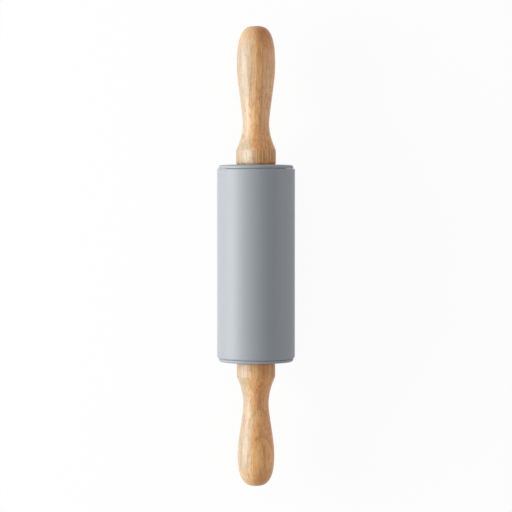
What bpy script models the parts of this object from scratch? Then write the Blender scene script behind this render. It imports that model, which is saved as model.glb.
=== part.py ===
"""Small rolling pin: a silicone-covered barrel turning on a steel axle between two wooden handles.

The pin lies on its barrel with the axle along X. The longer handle is on the left, at -X.
Every turned piece is drawn as (radius, height) points, with its height pointing out of the barrel.
"""

import math

import bmesh
import bpy
from mathutils import Matrix

MM = 0.001

# Barrel
BARREL_RADIUS = 19.5 * MM
BARREL_LENGTH = 98.5 * MM
SLEEVE_WALL = 2.0 * MM
SLEEVE_EDGE_ROUND = 0.8 * MM
GROOVE_WIDTH = 0.3 * MM
CORE_WALL = 1.8 * MM

# End caps
CAP_STEP = 0.78 * MM
CAP_RIM = 1.6 * MM
CAP_EDGE_ROUND = 1.0 * MM
CAP_PLATE = 2.0 * MM
COLLAR_POCKET_MARGIN = 0.5 * MM
SPIGOT_LENGTH = 10.0 * MM
SPIGOT_WALL = 1.5 * MM
HUB_WALL = 1.7 * MM
HUB_LIP = 0.5 * MM
RIB_COUNT = 6
RIB_THICKNESS = 1.4 * MM
RIB_SETBACK = 2.0 * MM
RIB_ROOT = 0.6 * MM

# Axle and its bearings
AXLE_RADIUS = 4.0 * MM
THREAD_RADIUS = 3.0 * MM
THREAD_RELIEF = 0.4 * MM
THREAD_RELIEF_LENGTH = 1.2 * MM
BUSH_WALL = 1.25 * MM
BUSH_LENGTH = 11.0 * MM
BUSH_FLANGE_WIDTH = 1.8 * MM
BUSH_FLANGE_THICKNESS = 1.0 * MM
WASHER_THICKNESS = 1.0 * MM

# Threaded inserts in the handles
INSERT_WALL = 1.7 * MM
INSERT_LENGTH = 12.0 * MM
INSERT_SINK = 1.0 * MM
BARB_COUNT = 5
BARB_DEPTH = 0.4 * MM
BARB_RAMP = 0.7
DRIVER_SLOT_WIDTH = 1.4 * MM
DRIVER_SLOT_DEPTH = 1.6 * MM
PILOT_DEPTH = 3.0 * MM
THREAD_END_GAP = 1.5 * MM

# Handles: the collar, the flare down to the neck, the swell of the grip and the nose
COLLAR_SINK = 0.1 * MM
COLLAR_FOOT_ROUND = 1.1 * MM
COLLAR_EDGE_ROUND = 2.0 * MM
FLARE_ANGLE = 24.0
FLARE_PULL = 4.5 * MM
NECK_PULL = 5.0 * MM
SWELL_PULL = 7.0 * MM
NOSE_POWER_ALONG = 2.6
LEFT_COLLAR_RADIUS = 10.0 * MM
LEFT_NECK_RADIUS = 6.6 * MM
LEFT_SWELL_RADIUS = 9.65 * MM
LEFT_COLLAR_LENGTH = 6.7 * MM
LEFT_FLARE_LENGTH = 14.2 * MM
LEFT_SWELL_LENGTH = 28.8 * MM
LEFT_NOSE_LENGTH = 19.9 * MM
LEFT_NOSE_POWER_ACROSS = 3.0
RIGHT_COLLAR_RADIUS = 9.65 * MM
RIGHT_NECK_RADIUS = 6.35 * MM
RIGHT_SWELL_RADIUS = 9.2 * MM
RIGHT_COLLAR_LENGTH = 7.3 * MM
RIGHT_FLARE_LENGTH = 14.2 * MM
RIGHT_SWELL_LENGTH = 25.2 * MM
RIGHT_NOSE_LENGTH = 16.2 * MM
RIGHT_NOSE_POWER_ACROSS = 2.8

# Clearances
SEAT_GAP = 0.3 * MM
RUNNING_GAP = 0.1 * MM
END_FLOAT = 0.2 * MM
HANDLE_GAP = 0.3 * MM
CHAMFER = 0.4 * MM

# Flats round each turned piece
BARREL_FLAT_COUNT = 64
CAP_FLAT_COUNT = 48
HANDLE_FLAT_COUNT = 40
AXLE_FLAT_COUNT = 32
INSERT_FLAT_COUNT = 24
SHARP_EDGE_ANGLE = 35.0

# Worked out from the sizes above
SLEEVE_BORE = BARREL_RADIUS - SLEEVE_WALL
CORE_RADIUS = SLEEVE_BORE - SEAT_GAP
CORE_BORE = CORE_RADIUS - CORE_WALL
CAP_RADIUS = BARREL_RADIUS - CAP_STEP
HALF_BARREL = BARREL_LENGTH / 2
HALF_SLEEVE = HALF_BARREL - CAP_RIM - GROOVE_WIDTH
HALF_CORE = HALF_BARREL - CAP_RIM - SEAT_GAP
HANDLE_FOOT = HALF_BARREL - COLLAR_SINK
COLLAR_POCKET_RADIUS = max(LEFT_COLLAR_RADIUS, RIGHT_COLLAR_RADIUS) + COLLAR_POCKET_MARGIN
COLLAR_POCKET_DEPTH = COLLAR_SINK + HANDLE_GAP
BUSH_BORE = AXLE_RADIUS + RUNNING_GAP
BUSH_RADIUS = BUSH_BORE + BUSH_WALL
BUSH_FLANGE_RADIUS = BUSH_RADIUS + BUSH_FLANGE_WIDTH
POCKET_RADIUS = BUSH_FLANGE_RADIUS + SEAT_GAP
POCKET_DEPTH = COLLAR_SINK + 2 * SEAT_GAP + WASHER_THICKNESS + END_FLOAT + BUSH_FLANGE_THICKNESS
INSERT_RADIUS = THREAD_RADIUS + SEAT_GAP + INSERT_WALL
INSERT_POCKET_RADIUS = max(INSERT_RADIUS, AXLE_RADIUS) + SEAT_GAP
INSERT_POCKET_DEPTH = INSERT_SINK + INSERT_LENGTH + SEAT_GAP
LEFT_LENGTH = LEFT_COLLAR_LENGTH + LEFT_FLARE_LENGTH + LEFT_SWELL_LENGTH + LEFT_NOSE_LENGTH
RIGHT_LENGTH = RIGHT_COLLAR_LENGTH + RIGHT_FLARE_LENGTH + RIGHT_SWELL_LENGTH + RIGHT_NOSE_LENGTH
BARREL_MIDDLE = (LEFT_LENGTH - RIGHT_LENGTH) / 2


def clear_scene():
    for old in list(bpy.data.objects):
        bpy.data.objects.remove(old, do_unlink=True)


def collection(name):
    group = bpy.data.collections.new(name)
    bpy.context.scene.collection.children.link(group)
    return group


def material(name, colour, roughness, metallic=0.0):
    finish = bpy.data.materials.new(name)
    finish.use_nodes = True
    shader = finish.node_tree.nodes["Principled BSDF"]
    shader.inputs["Base Color"].default_value = (*colour, 1.0)
    shader.inputs["Roughness"].default_value = roughness
    shader.inputs["Metallic"].default_value = metallic
    finish.diffuse_color = (*colour, 1.0)
    return finish


def arc(radius, height, size, start, end, steps=3):
    """Points on a circle of the given size about (radius, height), from one angle to another in degrees."""
    points = []
    for step in range(steps + 1):
        angle = math.radians(start + (end - start) * step / steps)
        points.append((radius + size * math.cos(angle), height + size * math.sin(angle)))
    return points


def bezier(start, pull_start, pull_end, end, steps):
    """Points along a cubic curve, without the first one."""
    points = []
    for step in range(1, steps + 1):
        t = step / steps
        weights = ((1 - t) ** 3, 3 * t * (1 - t) ** 2, 3 * t * t * (1 - t), t ** 3)
        corners = (start, pull_start, pull_end, end)
        radius = sum(weight * corner[0] for weight, corner in zip(weights, corners))
        height = sum(weight * corner[1] for weight, corner in zip(weights, corners))
        points.append((radius, height))
    return points


def turned(name, points, flats, finish, side, along, axis, group):
    """Turn a profile round the pin's axis, facing a side; one that starts on the axis is closed there."""
    on_axis = points[0][0] == 0.0
    mesh = bpy.data.meshes.new(name)
    edges = [(i, i + 1) for i in range(len(points) - 1)]
    if not on_axis:
        edges.append((len(points) - 1, 0))
    mesh.from_pydata([(radius, 0.0, height) for radius, height in points], edges, [])
    piece = bpy.data.objects.new(name, mesh)
    group.objects.link(piece)
    screw = piece.modifiers.new("Turn", "SCREW")
    screw.axis = "Z"
    screw.steps = flats
    screw.render_steps = flats
    screw.use_merge_vertices = True
    screw.merge_threshold = 0.00001
    bpy.context.view_layer.update()
    shape = bpy.data.meshes.new_from_object(piece.evaluated_get(bpy.context.evaluated_depsgraph_get()))
    piece.modifiers.clear()
    piece.data = shape
    bpy.data.meshes.remove(mesh)
    shape.name = name
    shape.materials.append(finish)
    smooth(shape)
    piece.parent = axis
    piece.location = (side * along, 0.0, 0.0)
    piece.rotation_euler = (0.0, side * math.pi / 2, 0.0)
    return piece


def smooth(mesh):
    mesh.shade_smooth()
    mesh.set_sharp_from_angle(angle=math.radians(SHARP_EDGE_ANGLE))


def block(name, size, places, like, cutters):
    """Boxes in one helper object, in the frame of the piece that they cut or join."""
    form = bmesh.new()
    for place in places:
        bmesh.ops.create_cube(form, size=1.0, matrix=place @ Matrix.Diagonal((*size, 1.0)))
    mesh = bpy.data.meshes.new(name)
    form.to_mesh(mesh)
    form.free()
    helper = bpy.data.objects.new(name, mesh)
    cutters.objects.link(helper)
    helper.parent = like.parent
    helper.location = like.location
    helper.rotation_euler = like.rotation_euler
    helper.hide_render = True
    helper.display_type = "WIRE"
    return helper


def combine(piece, helper, operation):
    boolean = piece.modifiers.new(operation.capitalize(), "BOOLEAN")
    boolean.operation = operation
    boolean.solver = "EXACT"
    boolean.object = helper


def make_sleeve(axis, group):
    """Silicone tube that covers the core, with softly rounded ends."""
    edge = min(SLEEVE_EDGE_ROUND, SLEEVE_WALL / 2)
    shoulder = BARREL_RADIUS - edge
    top = HALF_SLEEVE - edge
    points = [(SLEEVE_BORE, HALF_SLEEVE)]
    points += arc(shoulder, top, edge, 90, 0)
    points += arc(shoulder, -top, edge, 0, -90)
    points += [(SLEEVE_BORE, -HALF_SLEEVE)]
    finish = material("grey_silicone", (0.38, 0.41, 0.44), 0.6)
    return turned("silicone_sleeve", points, BARREL_FLAT_COUNT, finish, 1, 0.0, axis, group)


def make_core(axis, group):
    """Stiff moulded tube under the sleeve; the spigots of the end caps plug its two ends."""
    points = [
        (CORE_BORE + CHAMFER, HALF_CORE),
        (CORE_RADIUS - CHAMFER, HALF_CORE),
        (CORE_RADIUS, HALF_CORE - CHAMFER),
        (CORE_RADIUS, CHAMFER - HALF_CORE),
        (CORE_RADIUS - CHAMFER, -HALF_CORE),
        (CORE_BORE + CHAMFER, -HALF_CORE),
        (CORE_BORE, CHAMFER - HALF_CORE),
        (CORE_BORE, HALF_CORE - CHAMFER),
    ]
    finish = material("core_plastic", (0.62, 0.62, 0.60), 0.5)
    return turned("roller_core", points, CAP_FLAT_COUNT, finish, 1, 0.0, axis, group)


def cap_profile():
    """Disc with a rounded rim, a spigot for the core and a hub for the bush, outer face at height 0."""
    edge = min(CAP_EDGE_ROUND, CAP_RIM - CHAMFER)
    spigot_radius = CORE_BORE - SEAT_GAP
    spigot_end = -CAP_RIM - SPIGOT_LENGTH
    hub_radius = POCKET_RADIUS + HUB_WALL
    hub_bore = BUSH_RADIUS + SEAT_GAP
    hub_end = -POCKET_DEPTH - BUSH_LENGTH - HUB_LIP
    points = [(COLLAR_POCKET_RADIUS, 0.0)]
    points += arc(CAP_RADIUS - edge, -edge, edge, 90, 0)
    points += [
        (CAP_RADIUS, -CAP_RIM),
        (spigot_radius, -CAP_RIM),
        (spigot_radius, spigot_end + CHAMFER),
        (spigot_radius - CHAMFER, spigot_end),
        (spigot_radius - SPIGOT_WALL, spigot_end),
        (spigot_radius - SPIGOT_WALL, -CAP_PLATE),
        (hub_radius, -CAP_PLATE),
        (hub_radius, hub_end),
        (hub_bore, hub_end),
        (hub_bore, -POCKET_DEPTH),
        (POCKET_RADIUS, -POCKET_DEPTH),
        (POCKET_RADIUS, -COLLAR_POCKET_DEPTH),
        (COLLAR_POCKET_RADIUS, -COLLAR_POCKET_DEPTH),
    ]
    return points


def rib_places():
    """Places of the ribs that stiffen a cap between its hub and its spigot, and the size of one rib."""
    inner = POCKET_RADIUS + HUB_WALL - RIB_ROOT
    outer = CORE_BORE - SEAT_GAP - SPIGOT_WALL + RIB_ROOT
    low = RIB_SETBACK - CAP_RIM - SPIGOT_LENGTH
    high = RIB_ROOT - CAP_PLATE
    size = (outer - inner, RIB_THICKNESS, high - low)
    middle = Matrix.Translation(((inner + outer) / 2, 0.0, (low + high) / 2))
    places = []
    for rib in range(RIB_COUNT):
        turn = Matrix.Rotation(2 * math.pi * (rib + 0.5) / RIB_COUNT, 4, "Z")
        places.append(turn @ middle)
    return size, places


def make_caps(axis, group, cutters, sides):
    finish = material("grey_plastic", (0.40, 0.43, 0.46), 0.5)
    for label, side in sides:
        name = "end_cap_" + label
        cap = turned(name, cap_profile(), CAP_FLAT_COUNT, finish, side, HALF_BARREL, axis, group)
        size, places = rib_places()
        combine(cap, block("ribs_" + label, size, places, cap, cutters), "UNION")


def make_bushes(axis, group, sides):
    """Flanged plain bearings, pressed into the hubs; they turn with the barrel on the axle."""
    top = SEAT_GAP + BUSH_FLANGE_THICKNESS
    points = [
        (BUSH_BORE + CHAMFER, top),
        (BUSH_FLANGE_RADIUS, top),
        (BUSH_FLANGE_RADIUS, SEAT_GAP),
        (BUSH_RADIUS, SEAT_GAP),
        (BUSH_RADIUS, CHAMFER - BUSH_LENGTH),
        (BUSH_RADIUS - CHAMFER, -BUSH_LENGTH),
        (BUSH_BORE, -BUSH_LENGTH),
        (BUSH_BORE, top - CHAMFER),
    ]
    finish = material("bearing_plastic", (0.80, 0.79, 0.74), 0.35)
    seat = HALF_BARREL - POCKET_DEPTH
    for label, side in sides:
        turned("bush_" + label, points, AXLE_FLAT_COUNT, finish, side, seat, axis, group)


def make_washers(axis, group, sides):
    """Thrust washers between each bush and the foot of each handle."""
    chamfer = min(CHAMFER, WASHER_THICKNESS) / 2
    points = [
        (BUSH_BORE, WASHER_THICKNESS),
        (BUSH_FLANGE_RADIUS - chamfer, WASHER_THICKNESS),
        (BUSH_FLANGE_RADIUS, WASHER_THICKNESS - chamfer),
        (BUSH_FLANGE_RADIUS, 0.0),
        (BUSH_BORE, 0.0),
    ]
    finish = material("washer_steel", (0.60, 0.60, 0.61), 0.35, 1.0)
    foot = HANDLE_FOOT - SEAT_GAP - WASHER_THICKNESS
    for label, side in sides:
        turned("thrust_washer_" + label, points, AXLE_FLAT_COUNT, finish, side, foot, axis, group)


def make_axle(axis, group):
    """Steel rod through the barrel, with a shoulder and a threaded end for each handle."""
    shoulder = HANDLE_FOOT + INSERT_SINK - SEAT_GAP
    relief_end = shoulder + THREAD_RELIEF_LENGTH
    end = HANDLE_FOOT + INSERT_SINK + INSERT_LENGTH + PILOT_DEPTH - THREAD_END_GAP
    half = [
        (0.0, end),
        (THREAD_RADIUS - CHAMFER, end),
        (THREAD_RADIUS, end - CHAMFER),
        (THREAD_RADIUS, relief_end),
        (THREAD_RADIUS - THREAD_RELIEF, relief_end),
        (THREAD_RADIUS - THREAD_RELIEF, shoulder),
        (AXLE_RADIUS - CHAMFER, shoulder),
        (AXLE_RADIUS, shoulder - CHAMFER),
    ]
    points = half + [(radius, -height) for radius, height in reversed(half)]
    finish = material("axle_steel", (0.56, 0.57, 0.58), 0.3, 1.0)
    return turned("axle", points, AXLE_FLAT_COUNT, finish, 1, 0.0, axis, group)


def insert_profile():
    """Barbed sleeve whose threaded bore takes the end of the axle; its driven face is at the top."""
    bore = THREAD_RADIUS + SEAT_GAP
    root = INSERT_RADIUS - BARB_DEPTH
    pitch = (INSERT_LENGTH - DRIVER_SLOT_DEPTH) / BARB_COUNT
    points = [(bore, INSERT_LENGTH), (root, INSERT_LENGTH)]
    for barb in range(BARB_COUNT):
        top = INSERT_LENGTH - pitch * barb
        points += [(INSERT_RADIUS, top - pitch * BARB_RAMP), (root, top - pitch)]
    points += [(INSERT_RADIUS, DRIVER_SLOT_DEPTH - CHAMFER), (INSERT_RADIUS, 0.0), (bore, 0.0)]
    return points


def make_inserts(axis, group, cutters, sides):
    finish = material("insert_brass", (0.72, 0.52, 0.24), 0.35, 1.0)
    slot_size = (3 * INSERT_RADIUS, DRIVER_SLOT_WIDTH, 2 * DRIVER_SLOT_DEPTH)
    for label, side in sides:
        name = "handle_insert_" + label
        foot = HANDLE_FOOT + INSERT_SINK
        insert = turned(name, insert_profile(), INSERT_FLAT_COUNT, finish, side, foot, axis, group)
        slot = block("driver_slot_" + label, slot_size, [Matrix.Identity(4)], insert, cutters)
        combine(insert, slot, "DIFFERENCE")


def handle_profile(collar, neck, swell, collar_length, flare_length, swell_length, nose_length, nose_power):
    """Outer line from the nose down to the foot, then the stepped hole up the middle."""
    angle = math.radians(FLARE_ANGLE)
    foot_round = arc(collar - COLLAR_FOOT_ROUND, COLLAR_FOOT_ROUND, COLLAR_FOOT_ROUND, -90, 0)
    corner = arc(collar - COLLAR_EDGE_ROUND, collar_length, COLLAR_EDGE_ROUND, 0, FLARE_ANGLE, 2)
    flare_start = corner[-1]
    flare_pull = (
        flare_start[0] - FLARE_PULL * math.sin(angle),
        flare_start[1] + FLARE_PULL * math.cos(angle),
    )
    neck_at = collar_length + flare_length
    swell_at = neck_at + swell_length
    neck_pull = (neck, neck_at + NECK_PULL)
    swell_pull = (swell, swell_at - SWELL_PULL)
    line = foot_round + corner
    line += bezier(flare_start, flare_pull, (neck, neck_at - FLARE_PULL), (neck, neck_at), 6)
    line += bezier((neck, neck_at), neck_pull, swell_pull, (swell, swell_at), 8)
    line += nose_points(swell, swell_at, nose_length, nose_power)
    pilot = THREAD_RADIUS + SEAT_GAP
    pilot_end = INSERT_POCKET_DEPTH + PILOT_DEPTH
    hole = [
        (INSERT_POCKET_RADIUS, 0.0),
        (INSERT_POCKET_RADIUS, INSERT_POCKET_DEPTH),
        (pilot, INSERT_POCKET_DEPTH),
        (pilot, pilot_end - pilot / 2),
        (0.0, pilot_end),
    ]
    return list(reversed(line)) + hole


def nose_points(swell, swell_at, nose_length, power_across, steps=9):
    """Rounded end of the grip, fuller than an ellipse, without its first point."""
    points = []
    for step in range(1, steps):
        angle = math.pi / 2 * step / steps
        radius = swell * math.cos(angle) ** (2 / power_across)
        height = swell_at + nose_length * math.sin(angle) ** (2 / NOSE_POWER_ALONG)
        points.append((radius, height))
    points.append((0.0, swell_at + nose_length))
    return points


def make_handles(axis, group):
    finish = material("handle_wood", (0.61, 0.35, 0.17), 0.5)
    left = handle_profile(
        LEFT_COLLAR_RADIUS, LEFT_NECK_RADIUS, LEFT_SWELL_RADIUS, LEFT_COLLAR_LENGTH,
        LEFT_FLARE_LENGTH, LEFT_SWELL_LENGTH, LEFT_NOSE_LENGTH, LEFT_NOSE_POWER_ACROSS,
    )
    right = handle_profile(
        RIGHT_COLLAR_RADIUS, RIGHT_NECK_RADIUS, RIGHT_SWELL_RADIUS, RIGHT_COLLAR_LENGTH,
        RIGHT_FLARE_LENGTH, RIGHT_SWELL_LENGTH, RIGHT_NOSE_LENGTH, RIGHT_NOSE_POWER_ACROSS,
    )
    turned("handle_left", left, HANDLE_FLAT_COUNT, finish, -1, HANDLE_FOOT, axis, group)
    turned("handle_right", right, HANDLE_FLAT_COUNT, finish, 1, HANDLE_FOOT, axis, group)


def pivot(name, group):
    """Empty on the pin's axis, half way along the barrel."""
    empty = bpy.data.objects.new(name, None)
    empty.location = (BARREL_MIDDLE, 0.0, BARREL_RADIUS)
    group.objects.link(empty)
    return empty


clear_scene()
rolling_pin = collection("rolling_pin")
cutters = collection("cutters")
both_sides = (("left", -1), ("right", 1))
barrel_axis = pivot("barrel_axis", rolling_pin)
handle_axis = pivot("handle_axis", rolling_pin)
make_sleeve(barrel_axis, rolling_pin)
make_core(barrel_axis, rolling_pin)
make_caps(barrel_axis, rolling_pin, cutters, both_sides)
make_bushes(barrel_axis, rolling_pin, both_sides)
make_washers(handle_axis, rolling_pin, both_sides)
make_axle(handle_axis, rolling_pin)
make_inserts(handle_axis, rolling_pin, cutters, both_sides)
make_handles(handle_axis, rolling_pin)
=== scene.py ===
import math

import bmesh
import bpy
from mathutils import Matrix, Vector


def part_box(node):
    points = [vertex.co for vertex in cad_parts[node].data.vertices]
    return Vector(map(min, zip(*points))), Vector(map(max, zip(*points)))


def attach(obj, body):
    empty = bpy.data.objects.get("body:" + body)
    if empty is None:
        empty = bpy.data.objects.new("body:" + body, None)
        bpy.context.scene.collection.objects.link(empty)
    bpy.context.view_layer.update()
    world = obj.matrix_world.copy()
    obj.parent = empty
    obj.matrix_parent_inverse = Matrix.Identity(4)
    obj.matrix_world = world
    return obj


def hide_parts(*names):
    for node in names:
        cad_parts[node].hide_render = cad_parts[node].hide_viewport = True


# The pin as it was engineered: every piece below takes its place from these solids. The axle runs
# along X, the pin lies on its barrel at height 0, and the longer handle points to -X.
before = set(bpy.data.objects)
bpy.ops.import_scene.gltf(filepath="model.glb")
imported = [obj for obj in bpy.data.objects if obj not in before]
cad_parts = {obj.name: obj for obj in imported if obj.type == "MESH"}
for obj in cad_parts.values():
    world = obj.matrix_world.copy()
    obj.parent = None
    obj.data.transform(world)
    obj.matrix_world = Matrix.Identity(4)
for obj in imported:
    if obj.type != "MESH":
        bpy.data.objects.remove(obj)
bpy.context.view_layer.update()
MM = 0.001

sleeve_low, sleeve_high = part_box("silicone_sleeve")
axis_height = (sleeve_low[2] + sleeve_high[2]) / 2
barrel_radius = (sleeve_high[1] - sleeve_low[1]) / 2
barrel_middle = (sleeve_low[0] + sleeve_high[0]) / 2


# The roller core is a stiff extruded tube of undyed polypropylene, cut to length and hidden under
# the silicone. It keeps its engineered shape and shows the faint flow lines of the extrusion. Its
# finish is written with two small classes, which every other finish uses too.
class Wire:
    """A value in a material; arithmetic on it adds the Math nodes."""

    def __init__(self, finish, socket):
        self.finish = finish
        self.socket = socket

    def other(self, output):
        """Another output of the node that this value comes from."""
        return Wire(self.finish, self.socket.node.outputs[output])

    def maths(self, operation, *terms):
        return self.finish.node("ShaderNodeMath", {"operation": operation}, dict(enumerate(terms)))

    def whole(self):
        return self.maths("FLOOR", self)

    def fraction(self):
        return self.maths("FRACT", self)

    def __add__(self, other):
        return self.maths("ADD", self, other)

    def __radd__(self, other):
        return self.maths("ADD", other, self)

    def __sub__(self, other):
        return self.maths("SUBTRACT", self, other)

    def __rsub__(self, other):
        return self.maths("SUBTRACT", other, self)

    def __mul__(self, other):
        return self.maths("MULTIPLY", self, other)

    def __rmul__(self, other):
        return self.maths("MULTIPLY", other, self)

    def __truediv__(self, other):
        return self.maths("DIVIDE", self, other)

    def __pow__(self, other):
        return self.maths("POWER", self, other)


class Finish:
    """One material: its shader's plain values, and the nodes that feed the rest."""

    def __init__(self, name, values):
        self.material = bpy.data.materials.new(name)
        self.material.use_nodes = True
        self.tree = self.material.node_tree
        self.shader = self.tree.nodes["Principled BSDF"]
        for socket, value in values.items():
            self.shader.inputs[socket].default_value = value

    def node(self, kind, settings, sockets, output=0):
        made = self.tree.nodes.new(kind)
        for name, value in settings.items():
            if name == "stops":
                self.set_stops(made.color_ramp, value)
            else:
                setattr(made, name, value)
        for name, value in sockets.items():
            self.join(made.inputs[name], value)
        return Wire(self, made.outputs[output])

    def join(self, socket, value):
        if isinstance(value, Wire):
            self.tree.links.new(value.socket, socket)
        else:
            socket.default_value = value

    def set_stops(self, ramp, stops):
        while len(ramp.elements) < len(stops):
            ramp.elements.new(1.0)
        for element, (position, grey) in zip(ramp.elements, stops):
            element.position = position
            element.color = (grey, grey, grey, 1.0)

    def place(self, origin, scale):
        """The point being shaded, in millimetres from the origin, with each axis scaled."""
        raw = self.node("ShaderNodeTexCoord", {}, {}, "Object")
        factors = tuple(value / MM for value in scale)
        shift = tuple(-value * factor for value, factor in zip(origin, factors))
        sockets = {0: raw, 1: factors, 2: shift}
        return self.node("ShaderNodeVectorMath", {"operation": "MULTIPLY_ADD"}, sockets)

    def noise(self, per_mm, start=0.0, detail=2.0, roughness=0.5):
        """Cloudy noise, its features per millimetre given for each axis, laid out from x = start."""
        spot = self.place((start, 0.0, 0.0), per_mm)
        sockets = {"Vector": spot, "Scale": 1.0, "Detail": detail, "Roughness": roughness}
        return self.node("ShaderNodeTexNoise", {}, sockets)

    def smooth(self, value, low, high):
        """0 below low, 1 above high, with an even bend between them."""
        sockets = {"Value": value, "From Min": low, "From Max": high}
        return self.node("ShaderNodeMapRange", {"interpolation_type": "SMOOTHSTEP"}, sockets)

    def fade(self, value, low, high):
        """1 below low, 0 above high, with an even bend between them."""
        return 1 - self.smooth(value, low, high)

    def mix(self, factor, first, second):
        """The first colour where the factor is 0, and the second where it is 1."""
        factor_socket, first_socket, second_socket = 0, 6, 7
        colour_output = 2
        sockets = {factor_socket: factor, first_socket: opaque(first), second_socket: opaque(second)}
        return self.node("ShaderNodeMix", {"data_type": "RGBA"}, sockets, colour_output)

    def tint(self, colour, darkest, lightest, share):
        """A colour that runs from one shade of itself to another with the share."""
        return self.mix(share, shade(colour, darkest), shade(colour, lightest))

    def feed(self, socket, value):
        self.join(self.shader.inputs[socket], value)

    def vary(self, socket, low, high, share):
        """Feed a value that runs from low to high with the share."""
        self.feed(socket, low + (high - low) * share)

    def bump(self, height, distance):
        sockets = {"Height": height, "Distance": distance, "Strength": 1.0}
        self.feed("Normal", self.node("ShaderNodeBump", {}, sockets))


def opaque(colour):
    """A plain colour with full alpha; a wire stays as it is."""
    return colour if isinstance(colour, Wire) else (*colour, 1.0)


def shade(colour, gain):
    return tuple(min(1.0, channel * gain) for channel in colour)


def dress(node, finish):
    """Give a carried-over solid its finish."""
    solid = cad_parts[node]
    for slot in solid.material_slots:
        slot.material = finish.material


def core_finish():
    undyed = (0.60, 0.60, 0.57)
    flow_relief = 0.02 * MM
    finish = Finish("core_polypropylene", {"Roughness": 0.5, "Specular IOR Level": 0.5})
    flow = finish.noise((0.02, 1.4, 1.4), detail=3.0)
    finish.feed("Base Color", finish.tint(undyed, 0.9, 1.06, flow))
    finish.vary("Roughness", 0.42, 0.58, flow)
    finish.bump(flow, flow_relief)
    return finish


dress("roller_core", core_finish())


# The silicone sleeve is one moulded tube stretched over the core, 2 mm thick, smooth and matte,
# with softly rounded ends that are squeezed against the end caps. It is what touches the dough.
def turn(name, outline, turns, body, finish):
    """Turn (x, radius) points round the axle into a closed mesh that rides on a body.

    An outline that starts on the axle's axis also ends on it. Any other is joined end to start.
    """
    sharp_angle = 40
    steps = list(zip(outline, outline[1:] + outline[:1]))
    area = sum(x * next_radius - next_x * radius for (x, radius), (next_x, next_radius) in steps)
    faces_point_inwards = area > 0.0
    if faces_point_inwards:
        outline = outline[::-1]
    dots = []
    rings = []
    for x, radius in outline:
        copies = turns if radius > 0.0 else 1
        rings.append(range(len(dots), len(dots) + copies))
        for copy in range(copies):
            angle = 2 * math.pi * copy / turns
            dots.append((x, radius * math.sin(angle), axis_height + radius * math.cos(angle)))
    if outline[0][1] > 0.0:
        rings.append(rings[0])
    faces = []
    for ring, next_ring in zip(rings, rings[1:]):
        for copy in range(turns):
            here = (ring[copy % len(ring)], next_ring[copy % len(next_ring)])
            beside = (next_ring[(copy + 1) % len(next_ring)], ring[(copy + 1) % len(ring)])
            faces.append(list(dict.fromkeys(here + beside)))
    mesh = bpy.data.meshes.new(name)
    mesh.from_pydata(dots, [], faces)
    mesh.shade_smooth()
    mesh.set_sharp_from_angle(angle=math.radians(sharp_angle))
    mesh.materials.append(finish.material)
    piece = bpy.data.objects.new(name, mesh)
    bpy.context.scene.collection.objects.link(piece)
    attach(piece, body)
    return piece


def arc(x, radius, size, start, end, steps):
    """Points of a rounded corner about (x, radius), between two angles from +X in degrees."""
    points = []
    for step in range(steps + 1):
        angle = math.radians(start + (end - start) * step / steps)
        points.append((x + size * math.cos(angle), radius + size * math.sin(angle)))
    return points


def span(start, end, steps):
    """Points between two points, without either of them."""
    points = []
    for step in range(1, steps):
        share = step / steps
        points.append(tuple(a + (b - a) * share for a, b in zip(start, end)))
    return points


def sleeve_outline():
    wall = 2.0 * MM
    edge_round = 0.8 * MM
    end_ring = 0.3 * MM
    end_squeeze = 0.22 * MM
    bore = barrel_radius - wall
    shoulder = barrel_radius - edge_round
    start = sleeve_low[0] - end_squeeze
    end = sleeve_high[0] + end_squeeze
    straight_start = (start + edge_round, barrel_radius)
    straight_end = (end - edge_round, barrel_radius)
    outline = [(start, bore), (start, shoulder - end_ring)]
    outline += arc(straight_start[0], shoulder, edge_round, start=180, end=90, steps=10)
    outline += span(straight_start, straight_end, steps=24)
    outline += arc(straight_end[0], shoulder, edge_round, start=90, end=0, steps=10)
    outline += [(end, shoulder - end_ring), (end, bore)]
    return outline


def silicone_finish():
    grey = (0.27, 0.291, 0.313)
    grain_weight = 0.06
    grain_height = 0.05
    relief = 0.02 * MM
    finish = Finish("grey_silicone", {"Roughness": 0.56, "Specular IOR Level": 0.6, "Sheen Weight": 0.16})
    cloud = finish.noise((0.05, 0.08, 0.08), detail=4.0, roughness=0.6)
    grain = finish.noise((5.0, 5.0, 5.0))
    tone = finish.tint(grey, 0.97, 1.03, cloud)
    finish.feed("Base Color", finish.mix(grain_weight * grain, tone, shade(grey, 1.3)))
    finish.feed("Roughness", 0.50 + 0.08 * cloud + 0.04 * grain)
    finish.bump(cloud + grain_height * grain, relief)
    return finish


sleeve = turn(
    "sleeve_skin", sleeve_outline(), turns=256, body="barrel", finish=silicone_finish()
)
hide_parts("silicone_sleeve")


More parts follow.
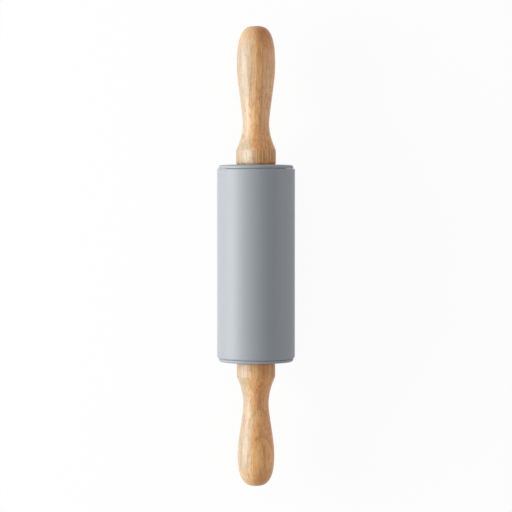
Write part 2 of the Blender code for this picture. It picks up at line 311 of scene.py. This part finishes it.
# Each end cap is moulded plastic in the silicone's grey: a disc with a rounded rim and a slightly
# crowned face that shows, and behind it a spigot pressed into the core and a ribbed hub that
# holds the bush.
def cap_outline(face, outward, cap_radius):
    """A cap's section as (x, radius), from the collar's pocket over the rim to the hub's inside."""
    rim = 1.6 * MM
    rim_round = 1.0 * MM
    spigot_radius = 15.1 * MM
    spigot_end = 11.6 * MM
    spigot_wall = 1.5 * MM
    plate = 2.0 * MM
    hub_radius = 9.15 * MM
    hub_bore = 5.65 * MM
    hub_end = 14.4 * MM
    pocket_radius = 7.45 * MM
    pocket_depth = 2.9 * MM
    collar_pocket = 10.5 * MM
    collar_depth = 0.4 * MM
    small_round = 0.25 * MM
    crown = 0.32 * MM
    crown_steps = 12
    crown_width = cap_radius - rim_round - collar_pocket - small_round
    depth_and_radius = [(small_round - crown, collar_pocket)]
    for step in range(crown_steps):
        share = step / crown_steps
        radius = collar_pocket + small_round + crown_width * share
        depth_and_radius.append((crown * (share * share - 1), radius))
    rim_points = arc(0.0, cap_radius - rim_round, rim_round, start=0, end=90, steps=10)
    depth_and_radius += [(rim_round - reach, radius) for reach, radius in rim_points]
    depth_and_radius += [
        (rim - small_round, cap_radius),
        (rim, cap_radius - small_round),
        (rim, spigot_radius),
        (spigot_end - small_round, spigot_radius),
        (spigot_end, spigot_radius - small_round),
        (spigot_end, spigot_radius - spigot_wall),
        (plate, spigot_radius - spigot_wall),
        (plate, hub_radius),
        (hub_end, hub_radius),
        (hub_end, hub_bore),
        (pocket_depth, hub_bore),
        (pocket_depth, pocket_radius),
        (collar_depth, pocket_radius),
        (collar_depth, collar_pocket),
    ]
    return [(face - outward * depth, radius) for depth, radius in depth_and_radius]


def cap_finish():
    grey = (0.285, 0.308, 0.331)
    spark_weight = 0.08
    relief = 0.01 * MM
    finish = Finish("grey_cap_plastic", {"Roughness": 0.5, "Specular IOR Level": 0.5})
    cloud = finish.noise((0.15, 0.15, 0.15), detail=4.0, roughness=0.6)
    spark = finish.noise((7.0, 7.0, 7.0))
    tone = finish.tint(grey, 0.96, 1.05, cloud)
    finish.feed("Base Color", finish.mix(spark_weight * spark, tone, shade(grey, 1.35)))
    finish.feed("Roughness", 0.46 + 0.10 * cloud + 0.05 * spark)
    finish.bump(spark, relief)
    return finish


def add_ribs(cap, face, outward):
    """Six stiffening webs between hub and spigot, rooted a little way into the walls they join."""
    count = 6
    thickness = 1.4 * MM
    inner = 8.55 * MM
    outer = 14.2 * MM
    shallow = 1.4 * MM
    deep = 9.6 * MM
    middle = Vector((face - outward * (shallow + deep) / 2, 0.0, (inner + outer) / 2))
    size = Matrix.Diagonal((deep - shallow, thickness, outer - inner, 1.0))
    axle = Matrix.Translation((0.0, 0.0, axis_height))
    form = bmesh.new()
    form.from_mesh(cap.data)
    for rib in range(count):
        turned = Matrix.Rotation(2 * math.pi * (rib + 0.5) / count, 4, "X")
        bmesh.ops.create_cube(form, size=1.0, matrix=axle @ turned @ Matrix.Translation(middle) @ size)
    form.to_mesh(cap.data)
    form.free()


cap_plastic = cap_finish()
for cap_name, outward in (("left", -1), ("right", 1)):
    cap_low, cap_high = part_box("end_cap_" + cap_name)
    face = cap_low[0] if outward < 0 else cap_high[0]
    section = cap_outline(face, outward, cap_radius=(cap_high[1] - cap_low[1]) / 2)
    cap = turn("cap_" + cap_name, section, turns=192, body="barrel", finish=cap_plastic)
    add_ribs(cap, face, outward)
    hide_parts("end_cap_" + cap_name)


# A flanged bush of natural acetal is pressed into each hub. It turns with the barrel and runs on
# the axle. It keeps its engineered shape.
def bush_finish():
    natural = (0.79, 0.78, 0.72)
    finish = Finish("bearing_acetal", {"Roughness": 0.35, "Specular IOR Level": 0.5})
    cloud = finish.noise((0.4, 0.4, 0.4), detail=3.0)
    finish.feed("Base Color", finish.tint(natural, 0.93, 1.04, cloud))
    finish.vary("Roughness", 0.30, 0.42, cloud)
    return finish


acetal = bush_finish()
for bush_name in ("bush_left", "bush_right"):
    dress(bush_name, acetal)


# The axle is stainless rod, turned down and threaded at both ends, with fine marks round it. The
# thrust washers are stamped from stainless sheet. Both keep their engineered shapes.
def steel_finish(name, colour, marks_per_mm):
    relief = 0.004 * MM
    finish = Finish(name, {"Metallic": 1.0, "Roughness": 0.32})
    marks = finish.noise(marks_per_mm, detail=4.0, roughness=0.6)
    finish.feed("Base Color", finish.tint(colour, 0.88, 1.06, marks))
    finish.vary("Roughness", 0.24, 0.44, marks)
    finish.bump(marks, relief)
    return finish


dress("axle", steel_finish("axle_steel", colour=(0.56, 0.57, 0.58), marks_per_mm=(6.0, 0.3, 0.3)))
washer_steel = steel_finish("washer_steel", colour=(0.60, 0.60, 0.61), marks_per_mm=(0.8, 2.5, 2.5))
for washer_name in ("thrust_washer_left", "thrust_washer_right"):
    dress(washer_name, washer_steel)


# A barbed brass insert is pressed into the foot of each handle and takes the axle's thread. It
# keeps its engineered shape, with lathe marks round it and a little tarnish.
def brass_finish():
    brass_yellow = (0.72, 0.52, 0.24)
    tarnish_brown = (0.42, 0.27, 0.12)
    tarnish_weight = 0.5
    finish = Finish("insert_brass", {"Metallic": 1.0, "Roughness": 0.33})
    marks = finish.noise((8.0, 0.4, 0.4), detail=3.0)
    tarnish = finish.noise((0.3, 0.3, 0.3), detail=4.0, roughness=0.65)
    turned = finish.tint(brass_yellow, 0.94, 1.06, marks)
    tarnished = tarnish_weight * finish.smooth(tarnish, 0.5, 0.8)
    finish.feed("Base Color", finish.mix(tarnished, turned, tarnish_brown))
    finish.vary("Roughness", 0.26, 0.46, tarnish)
    return finish


brass = brass_finish()
for insert_name in ("handle_insert_left", "handle_insert_right"):
    dress(insert_name, brass)


# The handles are turned from pale hardwood, sanded and given a thin satin oil. A straight collar
# meets the cap, flares down to the neck and swells to the grip; the two grips differ in length.
# The wood is cut through one field of growth rings, so its figure follows the turned shape.
def curve(start, start_pull, end_pull, end, steps):
    """Points along a cubic curve, without the first one."""
    points = []
    for step in range(1, steps + 1):
        share = step / steps
        rest = 1 - share
        weights = (rest ** 3, 3 * share * rest ** 2, 3 * share * share * rest, share ** 3)
        x, radius = 0.0, 0.0
        for weight, corner in zip(weights, (start, start_pull, end_pull, end)):
            x += weight * corner[0]
            radius += weight * corner[1]
        points.append((x, radius))
    return points


def handle_line(collar, neck, swell, edge_round, collar_length, flare, rise, nose, nose_power):
    """Outer line of a handle, as (distance from its foot, radius) in millimetres.

    collar, neck and swell are radii; collar_length, flare, rise and nose are the lengths of the
    collar, from there to the neck, from there to the swell, and from there to the tip. A higher
    nose_power makes a blunter nose.
    """
    foot_round = 1.5
    flare_angle = 24.0
    flare_pull = 4.5
    neck_pull = 5.0
    swell_pull = 7.0
    length_power = 2.6
    nose_steps = 32
    slope = math.radians(flare_angle)
    neck_at = collar_length + flare
    swell_at = neck_at + rise
    line = arc(foot_round, collar - foot_round, foot_round, start=180, end=90, steps=10)
    line += span((foot_round, collar), (collar_length, collar), steps=8)
    line += arc(collar_length, collar - edge_round, edge_round, start=90, end=90 - flare_angle, steps=8)
    edge = line[-1]
    edge_pull = (edge[0] + flare_pull * math.cos(slope), edge[1] - flare_pull * math.sin(slope))
    line += curve(edge, edge_pull, (neck_at - flare_pull, neck), (neck_at, neck), steps=24)
    rise_start = (neck_at + neck_pull, neck)
    rise_end = (swell_at - swell_pull, swell)
    line += curve((neck_at, neck), rise_start, rise_end, (swell_at, swell), steps=32)
    for step in range(1, nose_steps):
        angle = math.pi / 2 * step / nose_steps
        along = nose * math.sin(angle) ** (2 / length_power)
        line.append((swell_at + along, swell * math.cos(angle) ** (2 / nose_power)))
    line.append((swell_at + nose, 0.0))
    return line


def handle_hole():
    """The stepped hole for the insert and the axle's end, from its bottom to the foot, in mm."""
    insert_radius = 5.3
    insert_depth = 13.3
    pilot_radius = 3.3
    pilot_depth = 16.3
    drill_point = 1.65
    return [
        (pilot_depth, 0.0),
        (pilot_depth - drill_point, pilot_radius),
        (insert_depth, pilot_radius),
        (insert_depth, insert_radius),
        (0.0, insert_radius),
    ]


class Wood(Finish):
    """A handle's oiled wood, laid out in millimetres along, across and up from the handle's foot."""

    gold = (0.61, 0.455, 0.28)
    bright = (0.76, 0.56, 0.33)
    honey = (0.79, 0.425, 0.155)
    late_brown = (0.38, 0.15, 0.04)

    def __init__(self, name, foot, outward, length, seed):
        super().__init__(name, {"Roughness": 0.5, "Specular IOR Level": 0.3, "Coat Roughness": 0.4})
        self.foot = foot
        self.seed = seed
        spot = self.place((foot, 0.0, axis_height), (outward, 1.0, 1.0))
        self.along = self.node("ShaderNodeSeparateXYZ", {}, {"Vector": spot}, "X")
        self.across = self.along.other("Y")
        self.up = self.along.other("Z")
        # Zones along the handle, each by its limits in millimetres from the foot.
        self.collar = self.fade(self.along, 6.5, 10.0)
        self.near_foot = self.fade(self.along, 10.0, 26.0)
        self.grip = (1 - self.near_foot) * self.fade(self.along, length - 16.0, length - 4.0)
        self.nose = self.smooth(self.along, length - 14.0, length - 1.0)
        self.wander = self.figure(1, (0.022, 0.05, 0.05)) - 0.5

    def figure(self, shift, per_mm, detail=3.0, roughness=0.5):
        """Noise in the wood. The shift parts one layer from the next, the seed the two handles."""
        return self.noise(per_mm, start=self.foot + shift * self.seed, detail=detail, roughness=roughness)

    def growth_rings(self, pith, ring_width, lean):
        """Late wood: a dark line that closes each year's ring round the pith, clearer in some years."""
        wander_width = 4.0
        ripple_width = 0.5
        faintest_year = 0.25
        season_stops = ((0.0, 0.0), (0.35, 0.12), (0.72, 0.5), (0.88, 1.0), (1.0, 0.0))
        ripple = self.figure(-1, (0.09, 0.35, 0.35), detail=2.0) - 0.5
        side = self.across - pith[0]
        depth = self.up - pith[1]
        from_pith = (side * side + depth * depth) ** 0.5
        uneven = from_pith + wander_width * self.wander + ripple_width * ripple
        years = (uneven + lean * self.along) / ring_width
        year = {"W": years.whole()}
        strength = self.node("ShaderNodeTexWhiteNoise", {"noise_dimensions": "1D"}, year, "Value")
        season = {"Fac": years.fraction()}
        darkness = self.node("ShaderNodeValToRGB", {"stops": season_stops}, season)
        return darkness * (faintest_year + (1 - faintest_year) * strength)

    def ground(self, heart_and_shade, flank_weight):
        """The slow drift of colour, partly the wood's own and partly painted light: pale and flat on the
        side that faces the key light, golden to reddish and brighter on the shade side, where the warmer
        colour lifts the shade as painted fill light.
        """
        pale = (0.43, 0.355, 0.25)
        rosy_and_painted_fill = (0.93, 0.43, 0.155)
        reddish = (0.66, 0.26, 0.065)
        flank_tan = (0.9, 0.55, 0.32)
        rosy_and_painted_fill_weight = 0.8
        patch_warmth = 0.6
        foot_warmth = 0.5
        flank_wander = 3.0
        flank_slant = 0.086
        patch = self.figure(2, (0.06, 0.16, 0.16))
        warmth = heart_and_shade * (patch_warmth * self.smooth(patch, 0.42, 0.62) + foot_warmth * self.near_foot)
        flank_edge = self.across + flank_wander * self.wander - flank_slant * self.along
        flank = self.grip * self.smooth(flank_edge, -1.2, 1.0)
        body = self.mix(self.smooth(heart_and_shade, 0.0, 0.5), pale, self.gold)
        body = self.mix(self.smooth(heart_and_shade, 0.25, 0.95), body, self.honey)
        body = self.mix(rosy_and_painted_fill_weight * self.smooth(self.across, 1.0, 4.5), body, rosy_and_painted_fill)
        body = self.mix(warmth, body, reddish)
        return self.mix(flank_weight * flank, body, flank_tan)

    def add_fibres(self, body, warm_shade_side, mottle, fibre):
        """Cloudy patches, and dark and light fibres along the handle, each warmer on the warm side, which
        is the shade side.
        """
        cloud_weight = 0.5
        dark_weight = 0.7
        light_weight = 0.57
        cloud = self.mix(warm_shade_side, (0.45, 0.32, 0.18), (0.52, 0.245, 0.08))
        dark = self.mix(warm_shade_side, (0.39, 0.25, 0.12), (0.42, 0.19, 0.058))
        light = self.mix(warm_shade_side, (0.58, 0.47, 0.33), self.bright)
        body = self.mix(cloud_weight * self.smooth(mottle, 0.5, 0.75), body, cloud)
        body = self.mix(dark_weight * self.smooth(fibre, 0.5, 0.69), body, dark)
        return self.mix(light_weight * self.fade(fibre, 0.33, 0.5), body, light)

    def add_streaks(self, body, warm_shade_side, streaks):
        """Dark and pale streaks, strong on the straight collar, where the turning bares the grain. A cream
        band on the collar's key-lit side is painted light, and the pale streaks there are whiter, partly a
        painted highlight.
        """
        painted_collar_light = (0.78, 0.66, 0.46)
        chalk_and_painted_highlight = (0.68, 0.6, 0.48)
        painted_collar_light_weight = 0.65 * streaks * streaks
        dark_strength = 0.2 + 0.55 * streaks * self.collar
        pale_strength = 0.12 + 0.45 * streaks * self.collar
        # Painted light: a cream band brightens the collar on the side that faces the key light.
        painted_collar_light_band = self.smooth(self.across, -6.5, -3.5) * self.fade(self.across, -2.0, 0.0)
        dark_streak = self.smooth(self.figure(3, (0.04, 1.7, 1.7)), 0.52, 0.58)
        pale_streak = self.smooth(self.figure(-4, (0.04, 1.3, 1.3), detail=2.0), 0.56, 0.62)
        body = self.mix(painted_collar_light_weight * self.collar * painted_collar_light_band, body, painted_collar_light)
        body = self.mix(dark_streak * dark_strength, body, self.late_brown)
        # The pale streaks are whiter on the key-lit side, partly a painted highlight, and more saturated
        # on the shade side.
        return self.mix(pale_streak * pale_strength, body, self.mix(warm_shade_side, chalk_and_painted_highlight, self.bright))


def wood_finish(
    name, foot, outward, length, seed, pith, ring_width, lean, heart_and_shade_to, flank_weight, nose_weight, streaks
):
    """Turned hardwood.

    pith is the tree's middle, across and up from the axle, and lean is how far the rings move out
    for each millimetre along. The limit of the heart and shade side is where across the handle the pale
    side, which faces the key light, has ended; the golden side beyond it lies in the shade and is partly
    painted fill light. The weights are for the tan flank of the grip and the brown nose, and streaks for
    the collar's.
    """
    heart_and_shade_from = -6.5
    heart_and_shade_wander = 8.0
    collar_shift = 1.2
    ring_weight = 0.62
    ring_fade_at_foot = 0.35
    nose_honey_weight = 0.3
    nose_brown = (0.43, 0.15, 0.028)
    fleck_brown = (0.34, 0.145, 0.035)
    fleck_weight = 0.74
    relief = 0.018 * MM
    wood = Wood(name, foot, outward, length, seed)
    # Partly painted light: the pale side is set where the key light falls, widened on the collar, and the
    # golden side lies in the shade.
    heart_and_shade_edge = wood.across + heart_and_shade_wander * wood.wander - collar_shift * wood.collar
    heart_and_shade = wood.smooth(heart_and_shade_edge, heart_and_shade_from, heart_and_shade_to)
    warm_shade_side = wood.smooth(heart_and_shade, 0.0, 0.5)
    late = wood.growth_rings(pith, ring_width, lean)
    mottle = wood.figure(-1, (0.28, 0.6, 0.6), roughness=0.6)
    fibre = wood.figure(0, (0.06, 1.5, 1.5), detail=4.0, roughness=0.65)
    pores = {"Vector": wood.place((foot, 0.0, 0.0), (0.6, 1.5, 1.5)), "Scale": 1.0}
    pore_distance = wood.node("ShaderNodeTexVoronoi", {}, pores, "Distance")
    flecks = wood.fade(pore_distance, 0.15, 0.42) * wood.smooth(mottle, 0.4, 0.62)
    body = wood.ground(heart_and_shade, flank_weight)
    body = wood.mix(late * (ring_weight - ring_fade_at_foot * wood.near_foot), body, wood.late_brown)
    body = wood.add_fibres(body, warm_shade_side, mottle, fibre)
    body = wood.add_streaks(body, warm_shade_side, streaks)
    body = wood.mix(nose_honey_weight * wood.nose, body, wood.honey)
    # The nose's end grain browns most on the shade side, where the darker brown is partly painted shade.
    body = wood.mix(nose_weight * wood.nose * heart_and_shade * heart_and_shade, body, nose_brown)
    wood.feed("Base Color", wood.mix(fleck_weight * flecks, body, fleck_brown))
    wood.feed("Roughness", 0.46 + 0.14 * fibre + 0.12 * flecks)
    wood.feed("Coat Weight", 0.5 - 0.25 * flecks)
    wood.bump(0.5 * fibre - 0.6 * flecks - 0.25 * late, relief)
    return wood


def add_handle(side, outward, foot, line, wood):
    """Turn a handle: its outside from the tip to the foot, then its hole down to the bottom."""
    section = reversed(handle_hole() + line)
    outline = [(foot + outward * along * MM, radius * MM) for along, radius in section]
    name = "turned_handle_" + side
    handle = turn(name, outline, turns=160, body="handles_and_axle", finish=wood)
    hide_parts("handle_" + side)


left_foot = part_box("handle_left")[1][0]
left_line = handle_line(
    collar=10.0,
    neck=6.6,
    swell=9.65,
    edge_round=3.8,
    collar_length=6.7,
    flare=14.2,
    rise=28.8,
    nose=19.9,
    nose_power=3.05,
)
left_wood = wood_finish(
    "left_handle_wood",
    foot=left_foot,
    outward=-1,
    length=left_line[-1][0],
    seed=0.31,
    pith=(34.0, -9.0),
    ring_width=2.3,
    lean=0.01,
    heart_and_shade_to=3.5,
    flank_weight=0.5,
    nose_weight=0.88,
    streaks=1.0,
)
add_handle("left", -1, left_foot, left_line, left_wood)

right_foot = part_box("handle_right")[0][0]
right_line = handle_line(
    collar=9.65,
    neck=6.35,
    swell=9.2,
    edge_round=2.2,
    collar_length=7.3,
    flare=14.2,
    rise=25.2,
    nose=16.2,
    nose_power=2.8,
)
right_wood = wood_finish(
    "right_handle_wood",
    foot=right_foot,
    outward=1,
    length=right_line[-1][0],
    seed=0.77,
    pith=(-9.5, -22.7),
    ring_width=1.9,
    lean=0.12,
    heart_and_shade_to=3.6,
    flank_weight=0.0,
    nose_weight=0.6,
    streaks=0.35,
)
add_handle("right", 1, right_foot, right_line, right_wood)


# The pin lies on a plain matte white table, much larger than the picture. The eye sees it as nearly
# pure white, with just enough of its own shading left for a faint shadow under the pin.
def looked_at(finish):
    """1 for a ray that looks: from the camera, in a gloss or through glass. 0 for one that lights."""
    camera_ray = finish.node("ShaderNodeLightPath", {}, {}, "Is Camera Ray")
    seen = camera_ray + camera_ray.other("Is Glossy Ray") + camera_ray.other("Is Transmission Ray")
    return finish.smooth(seen, 0.0, 1.0)


def lay_floor():
    size = 6.0
    seen_white = 0.93
    bpy.ops.mesh.primitive_plane_add(size=size, location=(0.0, 0.0, 0.0))
    floor = bpy.context.object
    floor.name = "white_table"
    finish = Finish("white_table", {"Base Color": (0.92, 0.92, 0.92, 1.0), "Roughness": 0.9})
    white = finish.node("ShaderNodeEmission", {}, {"Color": (1.0, 1.0, 1.0, 1.0), "Strength": 1.0})
    matte = Wire(finish, finish.shader.outputs["BSDF"])
    mixed = finish.node("ShaderNodeMixShader", {}, {0: seen_white * looked_at(finish), 1: matte, 2: white})
    output = finish.tree.nodes["Material Output"]
    finish.join(output.inputs["Surface"], mixed)
    floor.data.materials.append(finish.material)


lay_floor()


# A large soft light stands low on the left of the picture. A white card, low on the right, gives
# a little of it back to the shade side, and the white room fills the rest.
def point_at(thing, target, up):
    """Turn a camera or lamp so that it looks at a point with the given direction upwards."""
    back = (thing.location - target).normalized()
    right = up.cross(back).normalized()
    true_up = back.cross(right)
    thing.rotation_euler = Matrix((right, true_up, back)).transposed().to_euler()


def soft_light(name, place, power, width, height):
    lamp = bpy.data.lights.new(name, "AREA")
    lamp.shape = "RECTANGLE"
    lamp.size = width
    lamp.size_y = height
    lamp.energy = power
    stand = bpy.data.objects.new(name, lamp)
    bpy.context.scene.collection.objects.link(stand)
    stand.location = place
    point_at(stand, Vector((0.0, 0.0, axis_height)), Vector((0.0, 0.0, 1.0)))


soft_light("key_softbox", place=(-0.05, -0.94, 0.33), power=13.3, width=0.8, height=0.4)
soft_light("fill_card", place=(-0.05, 0.94, 0.09), power=0.55, width=0.8, height=0.16)


class Room(Finish):
    """The white room, built of the same nodes as a finish: its shader is the world's background."""

    def __init__(self, world, colour):
        world.use_nodes = True
        self.tree = world.node_tree
        self.shader = self.tree.nodes["Background"]
        self.feed("Color", colour)


room_light = 0.51
seen_light = 1.0
bpy.context.scene.world = bpy.data.worlds.new("white_room")
room = Room(bpy.context.scene.world, (1.0, 1.0, 1.0, 1.0))
room.vary("Strength", room_light, seen_light, looked_at(room))


# The camera looks down on the pin from 1.16 m above it, two degrees off the vertical. It stands
# 48 mm from the barrel's middle towards the longer handle, which is at the top of the picture.
camera_reach = 1158.2 * MM
camera_offset = 43.9 * MM
aim_offset = 3.7 * MM
aim = Vector((barrel_middle - aim_offset, 0.0, axis_height))
picture_pixels = 512
focal_pixels = 2310.0
lens = bpy.data.cameras.new("photo_camera")
lens.sensor_width = 36.0
lens.lens = focal_pixels * lens.sensor_width / picture_pixels
lens.clip_start = 0.05
lens.clip_end = 20.0
camera = bpy.data.objects.new("photo_camera", lens)
bpy.context.scene.collection.objects.link(camera)
camera.location = aim + Vector((-camera_offset, 0.0, camera_reach))
point_at(camera, aim, Vector((-1.0, 0.0, 0.0)))
bpy.context.scene.camera = camera
bpy.context.scene.view_settings.view_transform = "Standard"
